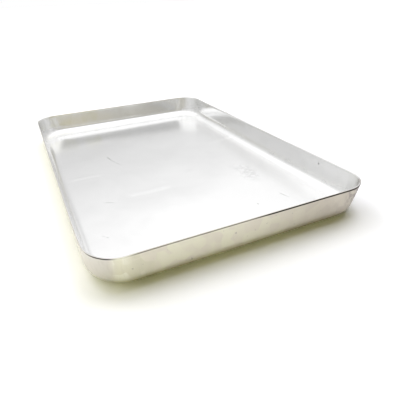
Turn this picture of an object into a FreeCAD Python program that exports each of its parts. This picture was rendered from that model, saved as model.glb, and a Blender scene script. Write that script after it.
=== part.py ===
import FreeCAD, Part
import Sketcher
import os

# Shallow rectangular baking tray, drawn in one press stroke from flat aluminium sheet.
# Row frame, millimetres: X along the long side, Y along the short side, Z up.
# The origin is on the table, under the middle of the tray.

# Driving sizes of the tray: alias, value, what it is
SIZES = [
    ("rim_length", 356.0, "long side, over the outside of the rim"),
    ("rim_width", 229.0, "short side, over the outside of the rim"),
    ("tray_height", 27.0, "table to the top of the rim"),
    ("sheet_thickness", 1.2, "thickness of the aluminium sheet"),
    ("wall_lean", 3.0, "degrees by which the walls lean outwards"),
    ("rim_corner_radius", 24.0, "plan radius of a corner, outside, at the rim"),
    ("foot_corner_radius", 34.0, "plan radius of a corner, outside, where its wall would meet the table"),
    ("bend_radius", 11.0, "outside radius of the bend from the base to a wall"),
    ("rim_edge_radius", 0.35, "rounding of the trimmed edge of the rim"),
]

# Sizes of the die, which forms the tray's outside, and of the punch, which forms its inside
TOOL_SIZES = [
    ("die_foot", "=0", "level of its foot above the table"),
    ("die_inset", "=0", "how far its walls stand in from the outside of the rim"),
    ("die_rim_corner", "=rim_corner_radius", "plan radius of its corners at the rim"),
    ("die_foot_corner", "=foot_corner_radius", "plan radius of its corners at its foot"),
    ("die_bend", "=bend_radius", "radius round its foot"),
    ("punch_foot", "=sheet_thickness", "level of its foot above the table"),
    ("punch_inset", "=sheet_thickness / cos(wall_lean * 1deg)", "how far its walls stand in"),
    ("punch_rim_corner", "=rim_corner_radius - sheet_thickness", "plan radius at the rim"),
    (
        "punch_foot_corner",
        "=punch_rim_corner + (foot_corner_radius - rim_corner_radius) * (1 - sheet_thickness / tray_height)",
        "plan radius at its foot",
    ),
    ("punch_bend", "=bend_radius - sheet_thickness", "radius round its foot"),
]

# The node's name, which names its file
NODE = "tray"

# Heights nearer than this are the same level, in millimetres
SAME_LEVEL = 1e-4

# Names of the points of a sketch's line, and the sketch's own origin
START, END = 1, 2
ORIGIN_POINT = (-1, 1)

doc = FreeCAD.newDocument("BakingTray")


def make_sheet():
    """Spreadsheet that holds every size under its alias."""
    sheet = doc.addObject("Spreadsheet::Sheet", "sizes")
    for row, (alias, value, meaning) in enumerate(SIZES + TOOL_SIZES, start=1):
        sheet.set(f"A{row}", alias)
        sheet.set(f"B{row}", str(value))
        sheet.set(f"C{row}", meaning)
        sheet.setAlias(f"B{row}", alias)
    doc.recompute()
    return sheet


def origin_plane(body, role):
    """One of the body's own origin planes, found by its role."""
    for feature in body.Origin.OriginFeatures:
        if feature.Role == role:
            return feature
    raise RuntimeError("origin plane not found: " + role)


def centred_rectangle(body, name, level, length, width):
    """Sketch of a rectangle about the middle of the tray, at a level above the table, bound to the sheet."""
    sketch = body.newObject("Sketcher::SketchObject", name)
    sketch.AttachmentSupport = [(origin_plane(body, "XY_Plane"), "")]
    sketch.MapMode = "FlatFace"
    sketch.setExpression("AttachmentOffset.Base.z", level)

    # A first guess of the outline, which the constraints pull to size
    half_long, half_short = 100.0, 60.0
    corners = [
        FreeCAD.Vector(-half_long, -half_short, 0),
        FreeCAD.Vector(half_long, -half_short, 0),
        FreeCAD.Vector(half_long, half_short, 0),
        FreeCAD.Vector(-half_long, half_short, 0),
    ]
    sides = []
    for quarter, corner in enumerate(corners):
        following = corners[(quarter + 1) % 4]
        sides.append(sketch.addGeometry(Part.LineSegment(corner, following), False))

    def constrain(*terms):
        return sketch.addConstraint(Sketcher.Constraint(*terms))

    for quarter, side in enumerate(sides):
        constrain("Coincident", side, END, sides[(quarter + 1) % 4], START)
        constrain("Vertical" if quarter % 2 else "Horizontal", side)
    constrain("Symmetric", sides[0], START, sides[2], START, *ORIGIN_POINT)

    bindings = {
        "Length": (constrain("DistanceX", sides[0], START, sides[0], END, 2 * half_long), length),
        "Width": (constrain("DistanceY", sides[1], START, sides[1], END, 2 * half_short), width),
    }
    for label, (number, expression) in bindings.items():
        sketch.renameConstraint(number, label)
        sketch.setExpression("Constraints." + label, expression)
    return sketch


def at_level(shapes, kind, height):
    """Names of the faces or edges that lie wholly in the level plane at this height."""
    names = []
    for number, shape in enumerate(shapes, start=1):
        box = shape.BoundBox
        if abs(box.ZMin - height) < SAME_LEVEL and abs(box.ZMax - height) < SAME_LEVEL:
            names.append(f"{kind}{number}")
    return names


def climbing(shapes, kind):
    """Names of the faces or edges that climb from one level to another."""
    names = []
    for number, shape in enumerate(shapes, start=1):
        if shape.BoundBox.ZLength > SAME_LEVEL:
            names.append(f"{kind}{number}")
    return names


def leaning_block(sheet, tool):
    """Sharp block up to the rim, whose walls close in towards its foot."""
    body = doc.addObject("PartDesign::Body", tool)
    outline = centred_rectangle(
        body,
        tool + "_outline",
        f"sizes.{tool}_foot * 1mm",
        f"sizes.rim_length - 2 * sizes.{tool}_inset",
        f"sizes.rim_width - 2 * sizes.{tool}_inset",
    )
    block = body.newObject("PartDesign::Pad", tool + "_block")
    block.Profile = outline
    block.setExpression("Length", f"(sizes.tray_height - sizes.{tool}_foot) * 1mm")
    doc.recompute()

    lean = body.newObject("PartDesign::Draft", tool + "_lean")
    lean.Base = (block, climbing(block.Shape.Faces, "Face"))
    lean.NeutralPlane = (block, at_level(block.Shape.Faces, "Face", sheet.tray_height))
    lean.Reversed = True
    lean.setExpression("Angle", "sizes.wall_lean * 1deg")
    body.Tip = lean
    doc.recompute()
    return body


def round_edges(base, name, radii):
    """Round edges of a solid: radii gives, by the edge's name, the radius at its start and at its end."""
    rounded = doc.addObject("Part::Fillet", name)
    rounded.Base = base
    rounded.Edges = [(int(edge.removeprefix("Edge")), *pair) for edge, pair in radii.items()]
    doc.recompute()
    return rounded


def round_corners(block, name, rim_radius, foot_radius):
    """Round the four standing corners, wider at the foot than at the rim."""
    radii = {}
    for edge_name in climbing(block.Shape.Edges, "Edge"):
        edge = block.Shape.getElement(edge_name)
        rises = edge.valueAt(edge.LastParameter).z > edge.valueAt(edge.FirstParameter).z
        radii[edge_name] = (foot_radius, rim_radius) if rises else (rim_radius, foot_radius)
    return round_edges(block, name, radii)


def round_level(base, name, height, radius):
    """Round every edge that lies in the level plane at this height."""
    edges = at_level(base.Shape.Edges, "Edge", height)
    return round_edges(base, name, dict.fromkeys(edges, (radius, radius)))


def pressing_tool(sheet, tool):
    """The die or the punch: a leaning block with round corners and a round foot."""
    block = leaning_block(sheet, tool)
    rim_radius = sheet.get(tool + "_rim_corner")
    foot_radius = sheet.get(tool + "_foot_corner")
    corners = round_corners(block, tool + "_corners", rim_radius, foot_radius)
    return round_level(corners, tool + "_bend", sheet.get(tool + "_foot"), sheet.get(tool + "_bend"))


def make_tray(sheet):
    """The drawn sheet: what is left between the die round it and the punch inside it."""
    drawn = doc.addObject("Part::Cut", "drawn_sheet")
    drawn.Base = pressing_tool(sheet, "die")
    drawn.Tool = pressing_tool(sheet, "punch")
    doc.recompute()

    # The trimmed rim is deburred inside and outside, and keeps a flat land between
    tray = round_level(drawn, "rim_edge", sheet.tray_height, sheet.rim_edge_radius)
    tray.Label = NODE
    return tray


def check_document(pieces):
    """Stop if a feature failed or a piece has no sound solid."""
    for item in doc.Objects:
        if "Invalid" in item.State or "Error" in item.State:
            raise RuntimeError(f"{item.Label} failed: {item.State}")
        if item.TypeId == "Sketcher::SketchObject" and not item.FullyConstrained:
            raise RuntimeError(f"{item.Label} can still move")
    for piece in pieces:
        shape = piece.Shape
        if shape.isNull() or not shape.isValid() or len(shape.Solids) != 1:
            raise RuntimeError(f"{piece.Label} has no valid single solid")


def write_step(piece):
    """Print the size and volume of a finished piece and write its file."""
    box = piece.Shape.optimalBoundingBox(False, False)
    print(f"{piece.Label}: {box.XLength:.2f} x {box.YLength:.2f} x {box.ZLength:.2f} mm,"
          f" {piece.Shape.Volume:.0f} mm3")
    piece.Shape.exportStep(os.path.join("parts", piece.Label + ".step"))


pieces = [make_tray(make_sheet())]
check_document(pieces)
os.makedirs("parts", exist_ok=True)
for piece in pieces:
    write_step(piece)
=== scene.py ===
import math

import bpy
import numpy as np
from mathutils import Euler, Matrix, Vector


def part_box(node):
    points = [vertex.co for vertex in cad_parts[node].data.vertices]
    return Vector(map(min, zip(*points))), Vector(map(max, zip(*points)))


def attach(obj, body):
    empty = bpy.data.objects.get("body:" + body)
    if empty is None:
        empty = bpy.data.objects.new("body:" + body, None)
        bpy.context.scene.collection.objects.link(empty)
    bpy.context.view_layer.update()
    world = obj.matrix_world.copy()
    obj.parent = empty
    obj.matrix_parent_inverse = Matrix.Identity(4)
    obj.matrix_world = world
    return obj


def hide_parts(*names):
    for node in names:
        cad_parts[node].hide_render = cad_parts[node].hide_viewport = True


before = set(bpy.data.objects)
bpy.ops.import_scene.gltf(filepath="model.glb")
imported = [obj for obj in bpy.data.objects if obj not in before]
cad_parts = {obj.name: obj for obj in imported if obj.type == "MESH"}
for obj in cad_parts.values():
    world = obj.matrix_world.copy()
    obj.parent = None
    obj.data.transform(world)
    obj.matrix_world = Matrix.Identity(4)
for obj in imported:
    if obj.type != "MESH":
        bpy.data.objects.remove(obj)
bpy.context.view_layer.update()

bl_info = {
    "name": "Pressed aluminium baking tray",
    "version": (1, 0, 0),
    "blender": (4, 5, 0),
    "location": "View3D > Sidebar > Baking tray",
    "description": "Builds a shallow baking tray, drawn from one aluminium sheet, on a pale floor",
    "category": "Add Mesh",
}

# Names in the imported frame
NODE = "tray"
BODY = "root"

# How finely the tray's surface is divided
LONG_STEPS = 176
SHORT_STEPS = 112
HALF_CORNER_STEPS = 12
BEND_STEPS = 16
WALL_STEPS = 8
RIM_STEPS = 3

# Where a Mix node keeps its colours: the two that go in, and the one that comes out
MIX_FIRST = 6
MIX_SECOND = 7
MIX_RESULT = 2

# How softly one facet passes into the next
FACET_SOFTNESS = 0.3

# Where a stroke ends and where it is full, as shares of half its width and of half its length
STROKE_SIDE = (1.0, 0.3)
STROKE_END = (1.0, 0.6)


class Wire:
    """A socket that takes part in Python sums. Each sum adds the Math node that works it out."""

    def __init__(self, graph, socket):
        self.graph = graph
        self.socket = socket

    def maths(self, operation, *values):
        """The result of a Math node with these values, each a number or a wire."""
        return self.graph.add("ShaderNodeMath", {"operation": operation}, dict(enumerate(values)))

    def __add__(self, other):
        return self.maths("ADD", self, other)

    def __radd__(self, other):
        return self.maths("ADD", other, self)

    def __sub__(self, other):
        return self.maths("SUBTRACT", self, other)

    def __rsub__(self, other):
        return self.maths("SUBTRACT", other, self)

    def __mul__(self, other):
        return self.maths("MULTIPLY", self, other)

    def __rmul__(self, other):
        return self.maths("MULTIPLY", other, self)

    def __truediv__(self, other):
        return self.maths("DIVIDE", self, other)

    def __pow__(self, other):
        return self.maths("POWER", self, other)

    def __abs__(self):
        return self.maths("ABSOLUTE", self)

    def most(self, other):
        """The larger of two at each place."""
        return self.maths("MAXIMUM", self, other)

    def least(self, other):
        """The smaller of two at each place."""
        return self.maths("MINIMUM", self, other)


class Graph:
    """The node tree of a material or of the world, emptied and ready to be filled."""

    def __init__(self, owner):
        owner.use_nodes = True
        self.tree = owner.node_tree
        self.tree.nodes.clear()

    def add(self, kind, settings=None, values=None, output=0):
        """Add one node: its settings are set first, then its sockets get numbers, colours or wires."""
        node = self.tree.nodes.new(kind)
        for name, setting in (settings or {}).items():
            if name == "stops":
                self.set_stops(node.color_ramp, setting)
            else:
                setattr(node, name, setting)
        for name, value in (values or {}).items():
            if isinstance(value, Wire):
                self.tree.links.new(value.socket, node.inputs[name])
            else:
                node.inputs[name].default_value = value
        return Wire(self, node.outputs[output]) if len(node.outputs) else node

    @staticmethod
    def set_stops(ramp, stops):
        """Give a ramp its stops, each a place from 0 to 1 and a grey."""
        while len(ramp.elements) < len(stops):
            ramp.elements.new(1.0)
        for element, (place, grey) in zip(ramp.elements, stops):
            element.position = place
            element.color = (grey, grey, grey, 1.0)

    def ramp(self, wire, stops):
        """A grey that changes with a number in straight lines from stop to stop."""
        return self.add("ShaderNodeValToRGB", {"stops": stops}, {"Fac": wire})

    def soft_step(self, wire, low, high):
        """0 below low, 1 above high, and smooth between; low may be the larger."""
        settings = {"interpolation_type": "SMOOTHSTEP"}
        return self.add("ShaderNodeMapRange", settings, {"Value": wire, "From Min": low, "From Max": high})

    def about(self, wire, middle, full, end):
        """1 up to one distance from a middle, 0 beyond another, and smooth between."""
        return self.soft_step(abs(wire - middle), end, full)

    def mix_colour(self, share, first, second, blend="MIX"):
        """First colour where the share is 0 and second where it is 1, or their sum where the blend is ADD."""
        settings = {"data_type": "RGBA", "blend_type": blend, "clamp_factor": True}
        first, second = [side if isinstance(side, Wire) else (*side, 1.0) for side in (first, second)]
        values = {"Factor": share, MIX_FIRST: first, MIX_SECOND: second}
        return self.add("ShaderNodeMix", settings, values, output=MIX_RESULT)

    def with_wear_and_painted_light(self, colour, share, wear_and_light):
        """The colour with a mark over it where the share is 1: a kind of wear, or painted light and shade."""
        return self.mix_colour(share * wear_and_light.cover, colour, wear_and_light.colour)

    def noise(self, place, scale, detail=2.0, roughness=0.5, distortion=0.0):
        """Cloudy numbers round one half, scale to the metre."""
        values = {"Vector": place, "Scale": scale, "Detail": detail, "Roughness": roughness,
                  "Distortion": distortion}
        return self.add("ShaderNodeTexNoise", {"noise_dimensions": "3D"}, values)

    def parts(self, vector):
        """The three numbers of a vector."""
        outputs = self.add("ShaderNodeSeparateXYZ", None, {"Vector": vector}).socket.node.outputs
        return [Wire(self, outputs[axis]) for axis in "XYZ"]

    def stretched(self, place, scale, turn=(0.0, 0.0, 0.0), shift=(0.0, 0.0, 0.0)):
        """The place, turned and scaled along each axis."""
        values = {"Vector": place, "Scale": scale, "Rotation": turn, "Location": shift}
        return self.add("ShaderNodeMapping", {"vector_type": "TEXTURE"}, values)

    def streaks(self, place, size, detail=3.0):
        """Cloudy numbers round one half, drawn out to a size along, across and up in metres."""
        return self.noise(self.stretched(place, size), 1.0, detail=detail)

    def facets(self, place, scale):
        """Angular patches with soft edges, each with colours of its own, scale to the metre."""
        values = {"Vector": place, "Scale": scale, "Smoothness": FACET_SOFTNESS}
        return self.add("ShaderNodeTexVoronoi", {"feature": "SMOOTH_F1"}, values, output=1)

    def stroke(self, place, mark):
        """1 along a mark seen from above, fading to 0 at its sides and its ends."""
        shift = (mark.x, mark.y, 0.0)
        half = (mark.length / 2, mark.width / 2, 1.0)
        along, across, _ = self.parts(self.stretched(place, half, (0.0, 0.0, mark.heading), shift))
        off = abs(across - mark.bow / half[1] * (1.0 - along * along))
        return self.soft_step(off, *STROKE_SIDE) * self.soft_step(abs(along), *STROKE_END)

    def strokes(self, place, marks):
        """The strongest of several marks at each place."""
        strongest = self.stroke(place, marks[0])
        for mark in marks[1:]:
            strongest = strongest.most(self.stroke(place, mark))
        return strongest


class TrayShape(bpy.types.PropertyGroup):
    """Sizes of the tray that the frame's box doesn't give."""

    sheet_thickness: bpy.props.FloatProperty(
        name="Sheet thickness", description="Thickness of the aluminium sheet",
        default=0.0012, min=0.0005, max=0.003, precision=4, unit="LENGTH", subtype="DISTANCE",
    )
    wall_lean: bpy.props.FloatProperty(
        name="Wall lean", description="Angle by which the walls lean outwards",
        default=math.radians(3.0), min=0.0, max=math.radians(15.0), unit="ROTATION", subtype="ANGLE",
    )
    rim_corner: bpy.props.FloatProperty(
        name="Corner at the rim", description="Plan radius of a corner, outside, at the rim",
        default=0.024, min=0.01, max=0.06, precision=4, unit="LENGTH", subtype="DISTANCE",
    )
    foot_corner: bpy.props.FloatProperty(
        name="Corner at the foot",
        description="Plan radius of a corner, outside, where its wall would meet the table",
        default=0.034, min=0.01, max=0.06, precision=4, unit="LENGTH", subtype="DISTANCE",
    )
    bend: bpy.props.FloatProperty(
        name="Base bend", description="Outside radius of the bend from the base to a wall",
        default=0.011, min=0.003, max=0.02, precision=4, unit="LENGTH", subtype="DISTANCE",
    )
    rim_edge: bpy.props.FloatProperty(
        name="Rim edge", description="Rounding of the trimmed edge of the rim",
        default=0.00035, min=0.0001, max=0.0005, precision=5, unit="LENGTH", subtype="DISTANCE",
    )
    floor_wave: bpy.props.FloatProperty(
        name="Floor waves", description="Height of the gentle waves that use has left in the tray's floor",
        default=0.0003, min=0.0, max=0.001, precision=5, unit="LENGTH", subtype="DISTANCE",
    )
    pucker: bpy.props.FloatProperty(
        name="Puckers", description="Depth of the shallow puckers that drawing leaves in the walls",
        default=0.00005, min=0.0, max=0.0005, precision=5, unit="LENGTH", subtype="DISTANCE",
    )
    side_bulge: bpy.props.FloatProperty(
        name="Side bulge", description="How far the right side's rim stands out near the near right corner",
        default=0.0010, min=0.0, max=0.003, precision=4, unit="LENGTH", subtype="DISTANCE",
    )
    corner_knock: bpy.props.FloatVectorProperty(
        name="Knocked corner", description="How far a knock has moved the near left corner of the rim",
        size=2, default=(0.0009, 0.0018), precision=4, unit="LENGTH", subtype="XYZ",
    )


class TrayFinish(bpy.types.PropertyGroup):
    """Colour and gloss of the aluminium."""

    metal: bpy.props.FloatVectorProperty(
        name="Metal", description="Colour of the bare aluminium", size=3, subtype="COLOR",
        default=(0.89, 0.89, 0.89), min=0.0, max=1.0,
    )
    # The outside's yellow and pinkish tints are painted reflection of the warm, shaded floor in front of it
    painted_reflection_yellow: bpy.props.FloatVectorProperty(
        name="Yellow haze", description="Colour of the outside where baking has left a yellow haze", size=3,
        subtype="COLOR", default=(0.745, 0.725, 0.6), min=0.0, max=1.0,
    )
    painted_reflection_pink: bpy.props.FloatVectorProperty(
        name="Pink haze", description="Colour of the outside where the haze turns pinkish grey", size=3,
        subtype="COLOR", default=(0.7, 0.66, 0.575), min=0.0, max=1.0,
    )
    # Painted shade: the outside is painted darker and greyer towards the right
    painted_shade_grey: bpy.props.FloatVectorProperty(
        name="Grey haze", description="Colour of the outside towards the right, where it is dullest", size=3,
        subtype="COLOR", default=(0.52, 0.475, 0.42), min=0.0, max=1.0,
    )
    floor_roughness: bpy.props.FloatVectorProperty(
        name="Floor roughness", description="Roughness of the tray's floor, far and near: use has dulled it",
        size=2, default=(0.18, 0.22), min=0.0, max=1.0,
    )
    wall_roughness: bpy.props.FloatProperty(
        name="Wall roughness", description="Roughness of the walls and the bend inside, which stay bright",
        default=0.1, min=0.0, max=1.0, subtype="FACTOR",
    )
    outside_roughness: bpy.props.FloatProperty(
        name="Outside roughness", description="Roughness of the scuffed outside",
        default=0.42, min=0.0, max=1.0, subtype="FACTOR",
    )


class Studio(bpy.types.PropertyGroup):
    """Floor, light and room round the tray."""

    floor_colour: bpy.props.FloatVectorProperty(
        name="Floor", description="Colour of the pale floor", size=3, subtype="COLOR",
        default=(0.92, 0.92, 0.92), min=0.0, max=1.0,
    )
    floor_gain: bpy.props.FloatProperty(
        name="Floor brightness in view", description="How much brighter the floor is seen than it is",
        default=1.3, min=1.0, max=3.0,
    )
    back_light: bpy.props.FloatVectorProperty(
        name="Light from behind", description="Soft light from the half of the room behind the tray", size=3,
        subtype="COLOR", default=(1.06, 1.07, 1.13), min=0.0, max=2.0,
    )
    low_light: bpy.props.FloatVectorProperty(
        name="Low light", description="Warm light that comes in low from the left and the front", size=3,
        subtype="COLOR", default=(1.85, 1.8, 0.82), min=0.0, max=5.0,
    )
    key_level: bpy.props.FloatProperty(
        name="Key light", description="Strength of the broad soft lamp to the right and behind",
        default=0.9, min=0.0, max=10.0,
    )
    side_level: bpy.props.FloatProperty(
        name="Side light", description="Strength of the lower lamp to the left and behind",
        default=0.46, min=0.0, max=10.0,
    )
    ceiling_level: bpy.props.FloatProperty(
        name="Ceiling light", description="Strength of the small lamp straight above",
        default=0.21, min=0.0, max=10.0,
    )


class Outline:
    """The ring of points that every section of the tray is swept round, anticlockwise from above.

    Each point has a heading, the way out at right angles to the wall, and a lean towards the middle of
    a corner's arc, from -1 to 1 along each axis. A side's heading stays the same while its lean runs from
    one corner to the next. A corner's lean stays the same while its heading turns through a right angle.
    """

    def __init__(self):
        headings = []
        leans = []
        corners = np.array([(-1.0, -1.0), (1.0, -1.0), (1.0, 1.0), (-1.0, 1.0)])
        quarter = math.pi / 4
        self.starts = []
        count = 0
        for side in range(4):
            steps = SHORT_STEPS if side % 2 else LONG_STEPS
            facing = (side - 1) * math.pi / 2
            here, there = corners[side], corners[(side + 1) % 4]
            into = np.linspace(facing - quarter, facing, HALF_CORNER_STEPS, endpoint=False)
            out_of = np.linspace(facing, facing + quarter, HALF_CORNER_STEPS, endpoint=False)
            headings += [into, np.full(steps, facing), out_of]
            share = np.linspace(0.0, 1.0, steps, endpoint=False)[:, None]
            leans += [np.tile(here, (HALF_CORNER_STEPS, 1)), here * (1 - share) + there * share]
            leans.append(np.tile(there, (HALF_CORNER_STEPS, 1)))
            self.starts.append(count)
            count += steps + 2 * HALF_CORNER_STEPS
        angle = np.concatenate(headings)
        self.out = np.stack([np.cos(angle), np.sin(angle)], axis=1)
        self.corner = np.concatenate(leans)
        self.count = count


class Section:
    """Rings of the tray from the middle of the underside, over the rim, to the inner floor.

    At height z the outside of a wall has moved in from the rim by (height - z) * tan(lean), and a corner's
    plan radius has grown in a straight line from the rim's to the foot's. The bend is the part of a circle
    that touches both the wall and the table. The inner skin lies one thickness inside the outer one.
    """

    def __init__(self, shape, half_length, half_width, height):
        self.half = np.array([half_length, half_width])
        self.height = height
        self.shape = shape
        self.outline = Outline()
        # How far a point goes back along its own heading when it moves in by one along both axes
        back = np.abs(self.outline.out).sum(axis=1)
        self.widening = (shape.foot_corner - shape.rim_corner) / height
        slope = math.tan(shape.wall_lean) * back + self.widening * (back - 1.0)
        self.lean = np.arctan(slope)

    def wall(self, z, inwards=0.0):
        """Points at height z, one for each point of the outline, moved in level by a distance."""
        radius = self.shape.rim_corner + self.widening * (self.height - z)
        inset = (self.height - z) * math.tan(self.shape.wall_lean)
        middle = self.outline.corner * (self.half - (inset + radius)[:, None])
        level = middle + self.outline.out * (radius - inwards)[:, None]
        return np.column_stack([level, z])

    def bend(self, radius, share):
        """Points on the bend's circle of this radius, from the wall at share 0 to the foot at share 1."""
        outer = self.shape.bend
        touch = self.wall(outer * (1 - np.sin(self.lean)))
        centre = touch[:, :2] - self.outline.out * (outer * np.cos(self.lean))[:, None]
        turn = self.lean + (math.pi / 2 - self.lean) * share
        level = centre + self.outline.out * (radius * np.cos(turn))[:, None]
        return np.column_stack([level, outer - radius * np.sin(turn)])

    def rings(self):
        """All rings in order, and for each how far it belongs to the inside, from 0 to 1."""
        shape = self.shape
        ones = np.ones(self.outline.count)
        thickness = shape.sheet_thickness / np.cos(self.lean)
        brow = self.height - shape.rim_edge
        bend_shares = np.linspace(0.0, 1.0, BEND_STEPS + 1)
        climbs = np.linspace(0.0, 1.0, WALL_STEPS + 1)[1:]
        turns = np.linspace(0.0, math.pi / 2, RIM_STEPS + 1)

        outer = [self.bend(shape.bend, share) for share in bend_shares[::-1]]
        low = shape.bend * (1 - np.sin(self.lean))
        outer += [self.wall(low + (brow - low) * climb) for climb in climbs]
        for turn in turns[1:]:
            inwards = shape.rim_edge * (1 - math.cos(turn)) * ones
            outer.append(self.wall((brow + shape.rim_edge * math.sin(turn)) * ones, inwards))
        inner = []
        for turn in turns[::-1]:
            inwards = thickness - shape.rim_edge * (1 - math.cos(turn))
            inner.append(self.wall((brow + shape.rim_edge * math.sin(turn)) * ones, inwards))
        inside_bend = shape.bend - shape.sheet_thickness
        low = shape.bend - inside_bend * np.sin(self.lean)
        inner += [self.wall(brow + (low - brow) * climb, thickness) for climb in climbs[:-1]]
        inner += [self.bend(inside_bend, share) for share in bend_shares]
        rings = np.stack(outer + inner)
        inside = np.concatenate([np.zeros(len(outer)), np.ones(len(inner))])
        return rings, inside


def floor_patch(ring, starts):
    """Inner points of a floor whose edge is a closed ring of four sides, as a grid.

    Each point is the mean of the two opposite pairs of edge points, taken across and along, less what the
    four corners of the patch would give by themselves.
    """
    closed = np.concatenate([ring, ring[:1]])
    ends = starts[1:] + [len(ring)]
    near, right, far, left = [closed[start:end + 1] for start, end in zip(starts, ends)]
    far, left = far[::-1], left[::-1]
    u = np.linspace(0.0, 1.0, len(near))[1:-1, None, None]
    v = np.linspace(0.0, 1.0, len(right))[None, 1:-1, None]
    between_long = (1 - v) * near[1:-1, None] + v * far[1:-1, None]
    between_short = (1 - u) * left[None, 1:-1] + u * right[None, 1:-1]
    flat = (1 - u) * (1 - v) * near[0] + u * (1 - v) * near[-1] + (1 - u) * v * far[0] + u * v * far[-1]
    return between_long + between_short - flat


def floor_index(ring_start, starts, count, patch_start):
    """Vertex numbers of a floor's whole grid, its edge taken from the ring."""
    closed = ring_start + np.append(np.arange(count), 0)
    ends = starts[1:] + [count]
    near, right, far, left = [closed[start:end + 1] for start, end in zip(starts, ends)]
    grid = np.empty((len(near), len(right)), dtype=np.int64)
    inner = (len(near) - 2, len(right) - 2)
    grid[1:-1, 1:-1] = patch_start + np.arange(inner[0] * inner[1]).reshape(inner)
    grid[:, 0], grid[:, -1] = near, far[::-1]
    grid[0, :], grid[-1, :] = left[::-1], right
    return grid


def quads(grid):
    """The four-sided faces of a grid of vertex numbers, one row of four numbers each."""
    faces = np.stack([grid[:-1, :-1], grid[1:, :-1], grid[1:, 1:], grid[:-1, 1:]], axis=-1)
    return faces.reshape(-1, 4)


def ripple(points, seed, lengths, strength):
    """A smooth, repeatable unevenness: the mean of level cosine waves of random heading and phase."""
    random = np.random.default_rng(seed)
    total = np.zeros(len(points))
    for length in lengths:
        heading = random.uniform(0, 2 * math.pi)
        phase = random.uniform(0, 2 * math.pi)
        way = np.array([math.cos(heading), math.sin(heading)])
        total += np.cos(points[:, :2] @ way * 2 * math.pi / length + phase)
    return strength * total / len(lengths)


def hill(distance, width):
    """A bell, 1 at distance 0 and down to about a third at the width: exp of minus their ratio's square."""
    return np.exp(-((distance / width) ** 2))


def smooth_share(values, low, high):
    """0 at low, 1 at high, and a smooth curve of the third degree between; low may be the larger."""
    share = np.clip((values - low) / (high - low), 0.0, 1.0)
    return share * share * (3 - 2 * share)


# What the random headings of the floor's waves and of the walls' puckers start from
WAVE_SEED = 5
PUCKER_SEED = 11

# Wear of the shape: lengths of its waves and the distances over which it fades, in metres
WAVE_LENGTHS = (0.21, 0.16, 0.12, 0.095, 0.075)
WAVE_MARGIN = (0.018, 0.058)
PUCKER_LENGTHS = (0.021, 0.027, 0.034, 0.05, 0.07)
PUCKER_CORNER = (0.05, 0.015)
KNOCK_REACH = 0.028
BULGE_FROM_END = (0.13, 0.06)
BULGE_FROM_SIDE = (0.034, 0.012)

# Wear of the shape: shares of the wall's height over which it sets in, and how much a corner adds
PUCKER_CLIMB = (0.1, 0.5)
BULGE_CLIMB = (0.0, 0.7)
CORNER_PUCKERS = 0.6


def uneven(points, out, shape, half, height):
    """The tray as use has left it, with both its skins moved alike.

    The floor is lifted in gentle waves that die away at the bend, the walls pucker outwards and inwards
    along their normals, most at the corners, the near left corner of the rim is knocked to the right,
    and the right side is pushed out a little near the near right corner.
    """
    moved = points.copy()
    margin = (half - np.abs(points[:, :2])).min(axis=1)
    low = points[:, 2] < 2 * shape.sheet_thickness
    waves = ripple(points, WAVE_SEED, WAVE_LENGTHS, shape.floor_wave)
    rise = smooth_share(margin, *WAVE_MARGIN)
    moved[:, 2] += np.where(low, rise * (shape.floor_wave + waves), 0.0)

    climb = points[:, 2] / height
    from_corner = np.hypot(*(half - np.abs(points[:, :2])).T)
    puckers = ripple(points, PUCKER_SEED, PUCKER_LENGTHS, shape.pucker)
    puckers *= 1.0 + CORNER_PUCKERS * smooth_share(from_corner, *PUCKER_CORNER)
    puckers *= smooth_share(climb, *PUCKER_CLIMB)
    moved[:, :2] += out * puckers[:, None]

    from_near_left = np.hypot(points[:, 0] - half[0], points[:, 1] + half[1])
    knocked = hill(from_near_left, KNOCK_REACH) * climb
    moved[:, :2] += knocked[:, None] * np.array(shape.corner_knock)

    bulged = smooth_share(half[0] - points[:, 0], *BULGE_FROM_END)
    bulged *= smooth_share(half[1] - points[:, 1], *BULGE_FROM_SIDE) * smooth_share(climb, *BULGE_CLIMB)
    moved[:, 1] += shape.side_bulge * bulged
    return moved


def pressed_tray(shape):
    """Mesh of the tray: rings joined into one skin, closed by the floor below and the floor inside."""
    low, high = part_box(NODE)
    half = np.array([high.x - low.x, high.y - low.y]) / 2
    height = high.z - low.z
    section = Section(shape, half[0], half[1], height)
    rings, inside = section.rings()
    count = section.outline.count
    starts = section.outline.starts
    under = floor_patch(rings[0], starts)
    floor = floor_patch(rings[-1], starts)
    points = np.concatenate([rings.reshape(-1, 3), under.reshape(-1, 3), floor.reshape(-1, 3)])
    out = np.zeros((len(points), 2))
    out[:len(rings) * count] = np.tile(section.outline.out, (len(rings), 1))
    points = uneven(points, out, shape, half, height)

    numbers = np.arange(len(rings) * count).reshape(len(rings), count)
    numbers = np.concatenate([numbers, numbers[:, :1]], axis=1)
    walls = quads(numbers.T)
    under_start = rings.shape[0] * count
    floor_start = under_start + under.shape[0] * under.shape[1]
    under_grid = floor_index(0, starts, count, under_start)
    floor_grid = floor_index((len(rings) - 1) * count, starts, count, floor_start)
    faces = np.concatenate([walls, quads(under_grid)[:, ::-1], quads(floor_grid)])

    mesh = bpy.data.meshes.new("pressed_tray")
    mesh.from_pydata(points.tolist(), [], faces.tolist())
    mesh.validate()
    mesh.polygons.foreach_set("use_smooth", np.ones(len(faces), dtype=bool))
    shares = np.concatenate([
        np.repeat(inside, count),
        np.zeros(under.shape[0] * under.shape[1]),
        np.ones(floor.shape[0] * floor.shape[1]),
    ])
    mesh.attributes.new("inside", "FLOAT", "POINT").data.foreach_set("value", shares.astype(np.float32))
    mesh.update()
    return mesh


class Mark:
    """A stroke on the tray's floor: its middle, length, width and bow in metres, its heading in degrees."""

    def __init__(self, x, y, length, width, heading, bow=0.0):
        self.x, self.y = x, y
        self.length, self.width = length, width
        self.heading = math.radians(heading)
        self.bow = bow


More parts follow.
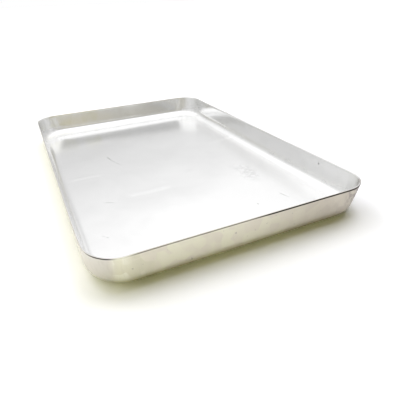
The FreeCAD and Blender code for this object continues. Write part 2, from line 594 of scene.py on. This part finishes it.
class WearAndPaintedLight:
    """One kind of wear, or of painted light and shade: the colour that it gives the metal, and how much of
    the metal's own it hides.
    """

    def __init__(self, colour, cover):
        self.colour = colour
        self.cover = cover


# Dark scratches and nicks in the floor
SCRATCHES = [
    Mark(-0.040, -0.0465, 0.042, 0.0028, 14, -0.0022),
    Mark(-0.0755, -0.047, 0.014, 0.0012, 60),
    Mark(-0.024, 0.0215, 0.009, 0.0012, 60),
    Mark(-0.006, 0.0585, 0.009, 0.0012, 58),
    Mark(0.029, 0.014, 0.013, 0.0014, 102),
    Mark(0.0575, -0.075, 0.010, 0.0014, 62),
    Mark(0.1215, 0.071, 0.013, 0.0016, 15),
    Mark(0.124, 0.041, 0.003, 0.0020, 0),
    Mark(0.1125, -0.090, 0.013, 0.0016, 40),
]

# Shallow creases across the floor: bumps in the relief, with a painted highlight along them
CREASES = [
    Mark(-0.0085, -0.084, 0.040, 0.0090, 88, 0.0010),
    Mark(0.052, -0.035, 0.050, 0.0110, 89, -0.0012),
    Mark(-0.038, 0.090, 0.046, 0.0090, 96, 0.0012),
]

# Wear of the floor and of the walls inside, with painted light: a painted highlight along the creases, and
# painted shade at a kink and a pit
SCRATCH = WearAndPaintedLight((0.58, 0.58, 0.57), 0.75)
PAINTED_CREASE_HIGHLIGHT = WearAndPaintedLight((0.96, 0.96, 0.96), 1.0)
WALL_HAZE = WearAndPaintedLight((0.84, 0.83, 0.7), 0.5)
KINK_SHADE = WearAndPaintedLight((0.52, 0.5, 0.48), 0.8)
PIT_SHADE = WearAndPaintedLight((0.3, 0.3, 0.3), 0.8)

# Wear of the outside, and painted light and shade on it: a painted glint, olive patches of painted
# reflection, streaks partly darkened as painted shade of facets, and painted shade along the foot where the
# tray meets the floor
GREY_CORNER = WearAndPaintedLight((0.65, 0.625, 0.6), 0.8)
PAINTED_GLINT = WearAndPaintedLight((0.9, 0.9, 0.8), 0.7)
PAINTED_OLIVE_REFLECTION = WearAndPaintedLight((0.54, 0.52, 0.41), 0.4)
DRAWN_STREAK_AND_FACET_SHADE = WearAndPaintedLight((0.4, 0.37, 0.35), 1.0)
SPECK = WearAndPaintedLight((0.35, 0.33, 0.3), 0.6)
BRUISE = WearAndPaintedLight((0.24, 0.21, 0.21), 0.75)
PAINTED_FOOT_SHADE = WearAndPaintedLight((0.2, 0.19, 0.15), 0.6)
RIM_LINE = WearAndPaintedLight((0.02, 0.018, 0.015), 1.0)

# Share of its colour that the metal keeps where it is dull
DULL_FLOOR = 0.8
DULL_WALL = 0.9

# Cloudy patterns: their scale to the metre, and how fine, rough and twisted they are
FLOOR_CLOUDS = {"scale": 22.0, "detail": 4.0, "roughness": 0.55, "distortion": 0.3}
FINE_CLOUDS = {"scale": 160.0, "detail": 3.0, "roughness": 0.6}
WALL_CLOUDS = {"scale": 70.0, "detail": 3.0}
OUTER_PATCHES = {"scale": 40.0, "detail": 2.5, "distortion": 0.8}
SPECK_GRAIN = {"scale": 420.0, "detail": 2.0}
BRUISE_BLOTCHES = {"scale": 330.0, "detail": 3.0}

# Angular patches of the outside, which stand in for facets in its painted reflection: their scale to the
# metre, and their share beside the cloudy ones
FACET_SCALE = 130.0
FACET_SHARE = 0.4

# Size of a streak along, across and up, in metres
WALL_STREAK = (0.003, 0.003, 0.06)
OUTER_STREAK = (0.0014, 0.0014, 0.03)
GRAIN_STREAK = (0.02, 0.0012, 0.0012)

# Level about which every cloudy pattern swings
CLOUD_MIDDLE = 0.5

# Levels of a pattern between which it sets in: none at the first, full at the second
DULL_IN_CLOUDS = (0.3, 0.75)
SMUDGE_IN_CLOUDS = (0.38, 0.62)
SCRATCH_IN_CLOUDS = (0.35, 0.6)
SHINE_IN_CLOUDS = (0.35, 0.6)
WALL_DULL_IN_CLOUDS = (0.4, 0.8)
WALL_DULL_IN_STREAKS = (0.4, 0.75)
HAZE_IN_CLOUDS = (0.32, 0.68)
PINK_IN_PATCHES = (0.34, 0.64)
GLINT_IN_FACETS = (0.3, 0.6)
OLIVE_REFLECTION_IN_FACETS = (0.6, 0.3)
DARK_IN_STREAKS = (0.5, 0.8)
SPECK_IN_GRAIN = (0.7, 0.76)
BRUISE_IN_BLOTCHES = (0.4, 0.52)

# Marks about a middle: the middle, how far from it they are full and how far from it they end, in metres
SMUDGE_ALONG = (0.062, 0.006, 0.030)
SMUDGE_ACROSS = (0.069, 0.002, 0.016)
DULL_SIDE_ALONG = (0.020, 0.040, 0.120)
KINK_ALONG_LESS_ACROSS = (0.0605, 0.003, 0.009)
GLINT_ACROSS = (-0.094, 0.002, 0.007)
OLIVE_REFLECTION_ACROSS = (-0.080, 0.004, 0.013)

# Places between which wear, or painted light and shade, sets in, in metres: none at the first, full at the
# second
WORN_ALONG_AND_ACROSS = (0.20, 0.06)
LONG_SIDE_ACROSS = (0.09, 0.10)
HAZE_ALONG = (-0.165, -0.171)
HAZE_ACROSS = (0.03, -0.05)
HAZE_HEIGHT = (0.010, 0.014)
KINK_ACROSS = (0.09, 0.10)
KINK_HEIGHT = (0.018, 0.024)
PIT_ACROSS = (0.100, 0.105)
LONG_BEND_ACROSS = (0.085, 0.098)
LONG_BEND_HEIGHT = (0.014, 0.008)
GREY_ACROSS = (-0.02, 0.08)
GREY_CORNER_ACROSS = (-0.094, -0.104)
BRUISE_ALONG = (0.150, 0.165)
BRUISE_ACROSS = (0.083, 0.095)
BRUISE_HEIGHT = (0.009, 0.018)
FOOT_LINE_TOP = (0.0037, 0.0027)
FOOT_LINE_BOTTOM = (0.0004, 0.0012)
CORNER_DISTANCE = (0.045, 0.020)
FLOOR_HEIGHT = (0.006, 0.002)

# The pit in the right side: its place along and its height, and the distances from it where it fades
PIT_PLACE = (0.1148, 0.0207)
PIT_EDGE = (0.0014, 0.0005)

# Where the floor turns from its far roughness to its near one, by the place along plus this share of across
NEARNESS_SLANT = 0.55
NEARNESS = (-0.12, 0.06)

# How strongly clouds on the floor and on the walls, the smudge and the long sides dull the metal
FLOOR_DULLING = 0.26
WALL_DULLING = 0.4
SMUDGE_DULLING = 0.7
LONG_SIDE_DULLING = 0.6

# How strongly the painted highlight on the creases shows at the least, and what clouds add to it
LEAST_SHINE = 0.2
CLOUD_SHINE = 0.35

# How much painted shade greys the right of the outside at the least, and what the facets' tints add to it
LEAST_GREY = 0.75
TINT_GREY = 0.25

# How dark the outer streaks are at the least, and what the grey of the right adds to it, where they are
# painted shade of the corners' facets
LEAST_STREAKS = 0.15
GREY_STREAKS = 0.5

# How much each pattern adds to the roughness
FLOOR_CLOUD_ROUGHNESS = 0.12
SMUDGE_ROUGHNESS = 0.1
WALL_CLOUD_ROUGHNESS = 0.05
CORNER_ROUGHNESS = 0.08
LONG_BEND_ROUGHNESS = 0.12
LONG_SIDE_ROUGHNESS = 0.05
PATCH_ROUGHNESS = 0.2
STREAK_ROUGHNESS = 0.1

# Relief of the grain and of the creases: shares of its depth, and its depth in metres
GRAIN_RELIEF = 0.15
CREASE_RELIEF = 0.5
RELIEF_STRENGTH = 0.6
RELIEF_DEPTH = 0.0001

# Strength of the dark line under the rim, by place across the tray over this span, left to right
RIM_LINE_SPAN = 0.24
RIM_LINE_STRENGTH = [
    (0.03, 0.1), (0.045, 1.0), (0.08, 1.0), (0.1, 0.1), (0.13, 0.2), (0.16, 0.65), (0.5, 0.75), (0.56, 1.0)
]

# Depth of that line on the left, how much deeper it gets to the right, and its soft edges, in metres
RIM_LINE_DEPTH = 0.0009
RIM_LINE_DEEPENING = 0.0003
RIM_LINE_DEEPER_ACROSS = (0.0, 0.02)
RIM_LINE_FOOT_EDGE = 0.00015
RIM_LINE_TOP_EDGE = 0.0001


def tray_floor(graph, place, finish):
    """Colour and roughness of the inner floor, which mirrors more clearly at the back than in front.

    Faint clouds dull it everywhere but at the near right, a smudge lies on the right, and there are dark
    scratches and a few creases with a painted highlight along them.
    """
    along, across, _ = graph.parts(place)
    clouds = graph.noise(place, **FLOOR_CLOUDS)
    fine_clouds = graph.noise(place, **FINE_CLOUDS)
    smudge = graph.about(across, *SMUDGE_ACROSS) * graph.about(along, *SMUDGE_ALONG)
    smudge = smudge * graph.soft_step(fine_clouds, *SMUDGE_IN_CLOUDS)
    worn_part = graph.soft_step(along + across, *WORN_ALONG_AND_ACROSS)
    dulled = graph.soft_step(clouds, *DULL_IN_CLOUDS) * worn_part * FLOOR_DULLING + smudge * SMUDGE_DULLING
    dull = [channel * DULL_FLOOR for channel in finish.metal]
    colour = graph.mix_colour(dulled.least(1.0), finish.metal, dull)
    scratched = graph.strokes(place, SCRATCHES) * graph.soft_step(fine_clouds, *SCRATCH_IN_CLOUDS)
    colour = graph.with_wear_and_painted_light(colour, scratched, SCRATCH)
    # Painted highlight: the creases are painted brighter than the metal round them
    crease_highlight = LEAST_SHINE + graph.soft_step(clouds, *SHINE_IN_CLOUDS) * CLOUD_SHINE
    colour = graph.with_wear_and_painted_light(colour, graph.strokes(place, CREASES) * crease_highlight, PAINTED_CREASE_HIGHLIGHT)
    far, near = finish.floor_roughness
    nearness = graph.soft_step(along + across * NEARNESS_SLANT, *NEARNESS)
    roughness = far + nearness * (near - far) + smudge * SMUDGE_ROUGHNESS
    return colour, roughness + (clouds - CLOUD_MIDDLE) * FLOOR_CLOUD_ROUGHNESS


def tray_walls(graph, place, finish, at_corner):
    """Colour and roughness of the walls inside, which are still bright.

    Faint streaks from the drawing run down the corners, the long sides are a little dull, and the left
    half of the back wall is hazed. The near right corner has painted shade along a kink, and the right
    side has the painted shade of a pit.
    """
    along, across, height = graph.parts(place)
    clouds = graph.noise(place, **WALL_CLOUDS)
    streaks = graph.streaks(place, WALL_STREAK)
    long_side = graph.soft_step(abs(across), *LONG_SIDE_ACROSS)
    dulled = graph.soft_step(streaks, *WALL_DULL_IN_STREAKS) * at_corner
    dulled = dulled + graph.soft_step(clouds, *WALL_DULL_IN_CLOUDS) * WALL_DULLING
    dulled = dulled + long_side * graph.about(along, *DULL_SIDE_ALONG) * LONG_SIDE_DULLING
    dull = [channel * DULL_WALL for channel in finish.metal]
    colour = graph.mix_colour(dulled.least(1.0), finish.metal, dull)

    hazed = graph.soft_step(clouds, *HAZE_IN_CLOUDS) * graph.soft_step(across, *HAZE_ACROSS)
    hazed = hazed * graph.soft_step(along, *HAZE_ALONG) * graph.soft_step(height, *HAZE_HEIGHT)
    colour = graph.with_wear_and_painted_light(colour, hazed, WALL_HAZE)
    # Painted shade: a dark band along a kink, high in the near right corner
    kink_shade = graph.about(along - across, *KINK_ALONG_LESS_ACROSS) * graph.soft_step(across, *KINK_ACROSS)
    colour = graph.with_wear_and_painted_light(colour, kink_shade * graph.soft_step(height, *KINK_HEIGHT), KINK_SHADE)
    # Painted shade: a small dark spot where a pit sits in the right side
    from_pit = ((along - PIT_PLACE[0]) ** 2 + (height - PIT_PLACE[1]) ** 2) ** 0.5
    pit_shade = graph.soft_step(from_pit, *PIT_EDGE) * graph.soft_step(across, *PIT_ACROSS)
    colour = graph.with_wear_and_painted_light(colour, pit_shade, PIT_SHADE)

    long_bend = graph.soft_step(abs(across), *LONG_BEND_ACROSS) * graph.soft_step(height, *LONG_BEND_HEIGHT)
    roughness = finish.wall_roughness + (clouds - CLOUD_MIDDLE) * WALL_CLOUD_ROUGHNESS
    roughness = roughness + at_corner * CORNER_ROUGHNESS + long_side * LONG_SIDE_ROUGHNESS
    return colour, roughness + long_bend * LONG_BEND_ROUGHNESS


def rim_line(graph, across, height, rim_level):
    """1 in the dark line just under the rim, which is strong at the near left corner and on the right."""
    strength = graph.ramp(across / RIM_LINE_SPAN + 0.5, RIM_LINE_STRENGTH)
    depth = RIM_LINE_DEPTH + graph.soft_step(across, *RIM_LINE_DEEPER_ACROSS) * RIM_LINE_DEEPENING
    line = graph.soft_step(height + depth, rim_level - RIM_LINE_FOOT_EDGE, rim_level + RIM_LINE_FOOT_EDGE)
    return line * graph.soft_step(height, rim_level, rim_level - RIM_LINE_TOP_EDGE) * strength


def tray_outside(graph, place, finish, rim_level, at_corner):
    """Colour and roughness of the outside, which is hazed in cloudy patches of roughness. Its yellow and
    pinkish tints are painted reflection of the warm, shaded floor, in angular patches that stand in for
    facets, and painted shade greys it towards the right.

    The near left corner is greyer too, with a painted glint and olive patches of painted reflection beside
    it, and the near right one is bruised. Streaks from the drawing run down the corners, darkened towards
    the right as painted shade of the corners' facets. Specks lie all over, a dark line runs under the rim,
    and painted shade darkens the bend along the foot, where the tray meets the floor.
    """
    along, across, height = graph.parts(place)
    patches = graph.noise(place, **OUTER_PATCHES)
    facets, tints, _ = graph.parts(graph.facets(place, FACET_SCALE))
    # Painted reflection: yellow and pinkish tints of the warm, shaded floor, in angular patches that stand in
    # for facets
    pink = graph.soft_step(patches * (1 - FACET_SHARE) + facets * FACET_SHARE, *PINK_IN_PATCHES)
    colour = graph.mix_colour(pink, finish.painted_reflection_yellow, finish.painted_reflection_pink)
    # Painted shade: darker and greyer towards the right
    grey = graph.soft_step(across, *GREY_ACROSS)
    colour = graph.mix_colour(grey * (LEAST_GREY + tints * TINT_GREY), colour, finish.painted_shade_grey)
    colour = graph.with_wear_and_painted_light(colour, graph.soft_step(across, *GREY_CORNER_ACROSS), GREY_CORNER)
    # Painted highlight: a glint in some facets beside the near left corner
    painted_glint = graph.about(across, *GLINT_ACROSS) * graph.soft_step(facets, *GLINT_IN_FACETS)
    colour = graph.with_wear_and_painted_light(colour, painted_glint, PAINTED_GLINT)
    # Painted reflection: darker olive patches in the other facets beside the glint
    olive_reflection = graph.about(across, *OLIVE_REFLECTION_ACROSS) * graph.soft_step(facets, *OLIVE_REFLECTION_IN_FACETS)
    colour = graph.with_wear_and_painted_light(colour, olive_reflection, PAINTED_OLIVE_REFLECTION)

    streaks = graph.streaks(place, OUTER_STREAK)
    # Streaks from the drawing down the corners, darkened towards the right as painted shade of the corners'
    # facets
    drawn = graph.soft_step(streaks, *DARK_IN_STREAKS) * at_corner * (LEAST_STREAKS + grey * GREY_STREAKS)
    colour = graph.with_wear_and_painted_light(colour, drawn, DRAWN_STREAK_AND_FACET_SHADE)
    specks = graph.soft_step(graph.noise(place, **SPECK_GRAIN), *SPECK_IN_GRAIN)
    colour = graph.with_wear_and_painted_light(colour, specks, SPECK)
    bruised = graph.soft_step(graph.noise(place, **BRUISE_BLOTCHES), *BRUISE_IN_BLOTCHES)
    bruised = bruised * graph.soft_step(along, *BRUISE_ALONG) * graph.soft_step(across, *BRUISE_ACROSS)
    colour = graph.with_wear_and_painted_light(colour, bruised * graph.soft_step(height, *BRUISE_HEIGHT), BRUISE)
    # Painted shade: a dark band low on the bend, where the tray meets the floor
    foot = graph.soft_step(height, *FOOT_LINE_TOP) * graph.soft_step(height, *FOOT_LINE_BOTTOM)
    colour = graph.with_wear_and_painted_light(colour, foot, PAINTED_FOOT_SHADE)
    colour = graph.with_wear_and_painted_light(colour, rim_line(graph, across, height, rim_level), RIM_LINE)
    roughness = finish.outside_roughness + (patches - CLOUD_MIDDLE) * PATCH_ROUGHNESS
    return colour, roughness + (streaks - CLOUD_MIDDLE) * STREAK_ROUGHNESS


def aluminium_material(finish):
    """Used aluminium: a bright inside with a dulled floor, a rough outside whose colour holds painted
    reflection and shade, and a fine grain all over.
    """
    material = bpy.data.materials.new("pressed_aluminium")
    graph = Graph(material)
    rim_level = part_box(NODE)[1].z
    place = graph.add("ShaderNodeTexCoord", output="Object")
    along, across, height = graph.parts(place)
    end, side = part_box(NODE)[1].xy
    from_corner = ((end - abs(along)) ** 2 + (side - abs(across)) ** 2) ** 0.5
    at_corner = graph.soft_step(from_corner, *CORNER_DISTANCE)
    inside = graph.add("ShaderNodeAttribute", {"attribute_name": "inside"}, output="Fac")
    on_floor = graph.soft_step(height, *FLOOR_HEIGHT)
    floor_colour, floor_rough = tray_floor(graph, place, finish)
    wall_colour, wall_rough = tray_walls(graph, place, finish, at_corner)
    outer_colour, outer_rough = tray_outside(graph, place, finish, rim_level, at_corner)
    colour = graph.mix_colour(on_floor, wall_colour, floor_colour)
    colour = graph.mix_colour(inside, outer_colour, colour)
    within = wall_rough + on_floor * (floor_rough - wall_rough)
    roughness = inside * within + (1.0 - inside) * outer_rough

    relief = graph.streaks(place, GRAIN_STREAK, detail=2.0) * GRAIN_RELIEF
    relief = relief + graph.strokes(place, CREASES) * CREASE_RELIEF
    values = {"Strength": RELIEF_STRENGTH, "Distance": RELIEF_DEPTH, "Height": relief}
    surface = graph.add("ShaderNodeBsdfPrincipled", None, {
        "Base Color": colour,
        "Metallic": 1.0,
        "Roughness": roughness,
        "Normal": graph.add("ShaderNodeBump", None, values),
    })
    graph.add("ShaderNodeOutputMaterial", None, {"Surface": surface})
    return material


# Camera: where it stands in metres, where it looks and how far it is tipped to one side
CAMERA_PLACE = (0.3646, -0.1244, 0.1645)
CAMERA_HEADING = math.radians(155.54)
CAMERA_DIP = math.radians(28.65)
CAMERA_ROLL = math.radians(-2.19)

# Camera: its lens and the width of its sensor in millimetres, and the nearest that it sees in metres
CAMERA_LENS = 33.76
CAMERA_SENSOR = 36.0
CAMERA_NEAREST = 0.01

# Floor: its radius in metres, and how many sides its edge has
FLOOR_RADIUS = 12.0
FLOOR_SIDES = 128

# Far lamps: the bearing from the tray, the elevation and how broad each looks from there, in degrees
KEY_PLACE = (121.0, 62.7, 40.0)
SIDE_PLACE = (201.0, 43.7, 30.0)
CEILING_PLACE = (0.0, 90.0, 5.0)

# Colour of the lamps
COOL_WHITE = (1.0, 0.99, 1.07)

# Bearings from the tray of the bright half of the room and of the low light, in degrees
BACK_BEARING = 190.0
LOW_BEARING = 285.0

# Brightness of the room that the metal mirrors, by how far up it is looked at, from 0 to 1
ROOM_SKY = [(0.0, 0.73), (0.28, 0.76), (0.34, 0.84), (0.42, 0.97), (0.48, 1.12), (0.56, 1.33), (1.0, 1.33)]

# Colours of the parts of that room: the far side, and the camera's side low down and above
FAR_SIDE_WHITE = (1.1, 1.1, 1.1)
FRONT_MIDDLE_TAN = (0.66, 0.62, 0.5)
FRONT_TAN = (0.54, 0.52, 0.46)
FRONT_GREY = (0.58, 0.58, 0.58)
BLACK = (0.0, 0.0, 0.0)
WHITE = (1.0, 1.0, 1.0)

# How much dimmer that room is straight behind the tray
STRAIGHT_BACK_DIMMING = 0.11

# How far a look goes across to the middle of the camera's side
FRONT_MIDDLE_ACROSS = 0.08

# How far a look goes, from -1 to 1, where a part of the room sets in and where it is full
BRIGHT_HALF = (0.0, 0.14)
LOW_LIGHT_UP = (0.51, 0.26)
LOW_LIGHT_SIDE = (-0.4, 0.4)
STRAIGHT_BACK_ACROSS = (0.4, 0.05)
STRAIGHT_BACK_ALONG = (0.0, -0.5)
FAR_SIDE_ACROSS = (0.42, 0.55)
FAR_SIDE_ALONG = (-0.45, -0.7)
FRONT_OFF_MIDDLE = (0.02, 0.15)
FRONT_GREY_UP = (0.2, 0.36)
CAMERA_SIDE_ALONG = (0.5, 0.88)
CAMERA_SIDE_UP = (0.6, 0.44)


def add_camera():
    """The camera, looking from the near short side over the tray."""
    camera = bpy.data.cameras.new("camera")
    camera.lens = CAMERA_LENS
    camera.sensor_width = CAMERA_SENSOR
    camera.clip_start = CAMERA_NEAREST
    stand = bpy.data.objects.new("camera", camera)
    bpy.context.scene.collection.objects.link(stand)
    level = Euler((math.pi / 2 - CAMERA_DIP, 0.0, CAMERA_HEADING - math.pi / 2)).to_matrix()
    tip = Matrix.Rotation(CAMERA_ROLL, 3, "Z")
    stand.matrix_world = Matrix.Translation(CAMERA_PLACE) @ (level @ tip).to_4x4()
    bpy.context.scene.camera = stand


def seen_shares(graph):
    """1 or 0 each: whether the camera sees by a ray, straight or through glass, and whether it is mirrored.

    A ray that a matt surface has scattered counts as neither, even where metal mirrors it later.
    """
    rays = graph.add("ShaderNodeLightPath").socket.node.outputs
    names = ("Is Camera Ray", "Is Transmission Ray", "Is Glossy Ray", "Diffuse Depth")
    camera, clear, glossy, scattered = [Wire(graph, rays[name]) for name in names]
    return camera.most(clear), glossy * (1.0 - scattered.least(1.0))


def floor_material(studio):
    """Matt pale floor, seen bright enough to come out white where nothing shades it."""
    material = bpy.data.materials.new("pale_floor")
    graph = Graph(material)
    seen = [channel * studio.floor_gain for channel in studio.floor_colour]
    direct, mirrored = seen_shares(graph)
    colour = graph.mix_colour(direct.most(mirrored), studio.floor_colour, seen)
    surface = graph.add("ShaderNodeBsdfDiffuse", None, {"Color": colour})
    graph.add("ShaderNodeOutputMaterial", None, {"Surface": surface})
    return material


def add_floor(studio):
    """A round floor under the tray, wide enough to reach the horizon."""
    turn = np.linspace(0.0, 2 * math.pi, FLOOR_SIDES, endpoint=False)
    edge = np.column_stack([np.cos(turn), np.sin(turn), np.zeros(FLOOR_SIDES)]) * FLOOR_RADIUS
    mesh = bpy.data.meshes.new("floor")
    mesh.from_pydata(edge.tolist(), [], [list(range(FLOOR_SIDES))])
    mesh.materials.append(floor_material(studio))
    floor = bpy.data.objects.new("floor", mesh)
    bpy.context.scene.collection.objects.link(floor)


def add_lamp(name, strength, place):
    """A far, soft lamp. The metal mirrors the room instead of it."""
    bearing, elevation, spread = [math.radians(angle) for angle in place]
    lamp = bpy.data.lights.new(name, "SUN")
    lamp.energy = strength
    lamp.color = COOL_WHITE
    lamp.angle = spread
    stand = bpy.data.objects.new(name, lamp)
    bpy.context.scene.collection.objects.link(stand)
    stand.rotation_euler = Euler((0.0, math.pi / 2 - elevation, bearing))
    stand.visible_glossy = False


def add_lamps(studio):
    """A key light and a lower one behind the tray, and a small one above that sharpens the shadow's edge."""
    add_lamp("key", studio.key_level, KEY_PLACE)
    add_lamp("side", studio.side_level, SIDE_PLACE)
    add_lamp("ceiling", studio.ceiling_level, CEILING_PLACE)


def towards(along, across, bearing):
    """How far a direction points to a bearing in degrees, from -1 to 1."""
    turn = math.radians(bearing)
    return along * math.cos(turn) + across * math.sin(turn)


def room_light(studio):
    """White where it is seen. Metal mirrors a room, and matt things get soft light and a warm low light.

    The soft light comes from behind, the low light from the left and the front. The room is white above,
    greyer low down, and warm and dimmest behind the camera.
    """
    world = bpy.data.worlds.new("room")
    bpy.context.scene.world = world
    graph = Graph(world)
    along, across, up = graph.parts(graph.add("ShaderNodeTexCoord", output="Generated"))
    behind = graph.soft_step(towards(along, across, BACK_BEARING), *BRIGHT_HALF)
    low = graph.soft_step(towards(along, across, LOW_BEARING), *LOW_LIGHT_SIDE)
    low = low * graph.soft_step(up, *LOW_LIGHT_UP)
    matt = graph.mix_colour(behind, BLACK, studio.back_light)
    matt = graph.mix_colour(low, matt, studio.low_light, "ADD")

    straight_back = graph.soft_step(abs(across), *STRAIGHT_BACK_ACROSS)
    straight_back = straight_back * graph.soft_step(along, *STRAIGHT_BACK_ALONG)
    room = graph.mix_colour(straight_back * STRAIGHT_BACK_DIMMING, graph.ramp(up, ROOM_SKY), BLACK)
    far_side = graph.soft_step(across, *FAR_SIDE_ACROSS) * graph.soft_step(along, *FAR_SIDE_ALONG)
    room = graph.mix_colour(far_side, room, FAR_SIDE_WHITE)
    off_middle = graph.soft_step(abs(across - FRONT_MIDDLE_ACROSS), *FRONT_OFF_MIDDLE)
    front = graph.mix_colour(off_middle, FRONT_MIDDLE_TAN, FRONT_TAN)
    front = graph.mix_colour(graph.soft_step(up, *FRONT_GREY_UP), front, FRONT_GREY)
    camera_side = graph.soft_step(along, *CAMERA_SIDE_ALONG) * graph.soft_step(up, *CAMERA_SIDE_UP)
    room = graph.mix_colour(camera_side, room, front)

    direct, mirrored = seen_shares(graph)
    tone = graph.mix_colour(mirrored, matt, room)
    tone = graph.mix_colour(direct, tone, WHITE)
    light = graph.add("ShaderNodeBackground", None, {"Color": tone, "Strength": 1.0})
    graph.add("ShaderNodeOutputWorld", None, {"Surface": light})


class OBJECT_OT_pressed_tray(bpy.types.Operator):
    """Build the tray's skin and give it its satin aluminium"""

    bl_idname = "object.pressed_tray"
    bl_label = "Pressed tray"

    def execute(self, context):
        mesh = pressed_tray(context.scene.tray_shape)
        mesh.materials.append(aluminium_material(context.scene.tray_finish))
        tray = bpy.data.objects.new("pressed_tray", mesh)
        context.scene.collection.objects.link(tray)
        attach(tray, BODY)
        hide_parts(NODE)
        return {"FINISHED"}


class SCENE_OT_tray_stage(bpy.types.Operator):
    """Set up the floor, the light and the camera"""

    bl_idname = "scene.tray_stage"
    bl_label = "Floor, light and camera"

    def execute(self, context):
        studio = context.scene.tray_studio
        add_camera()
        add_floor(studio)
        add_lamps(studio)
        room_light(studio)
        context.scene.view_settings.view_transform = "Standard"
        return {"FINISHED"}


OPERATORS = (OBJECT_OT_pressed_tray, SCENE_OT_tray_stage)
SETTINGS = {"tray_shape": TrayShape, "tray_finish": TrayFinish, "tray_studio": Studio}


class VIEW3D_PT_baking_tray(bpy.types.Panel):
    """Sizes and colours of the tray, and the buttons that build it"""

    bl_label = "Baking tray"
    bl_idname = "VIEW3D_PT_baking_tray"
    bl_space_type = "VIEW_3D"
    bl_region_type = "UI"
    bl_category = "Baking tray"

    def draw(self, context):
        for name, kind in SETTINGS.items():
            box = self.layout.box()
            for setting in kind.__annotations__:
                box.prop(getattr(context.scene, name), setting)
        for operator in OPERATORS:
            self.layout.operator(operator.bl_idname)


CLASSES = (*SETTINGS.values(), *OPERATORS, VIEW3D_PT_baking_tray)


def register():
    """Tell Blender of the settings, the operators and the panel."""
    for kind in CLASSES:
        bpy.utils.register_class(kind)
    for name, kind in SETTINGS.items():
        setattr(bpy.types.Scene, name, bpy.props.PointerProperty(type=kind))


def unregister():
    """Undo what register did, in reverse."""
    for name in SETTINGS:
        delattr(bpy.types.Scene, name)
    for kind in reversed(CLASSES):
        bpy.utils.unregister_class(kind)


def main():
    """Build the scene."""
    register()
    bpy.ops.scene.tray_stage()
    bpy.ops.object.pressed_tray()


if __name__ == "__main__":
    main()
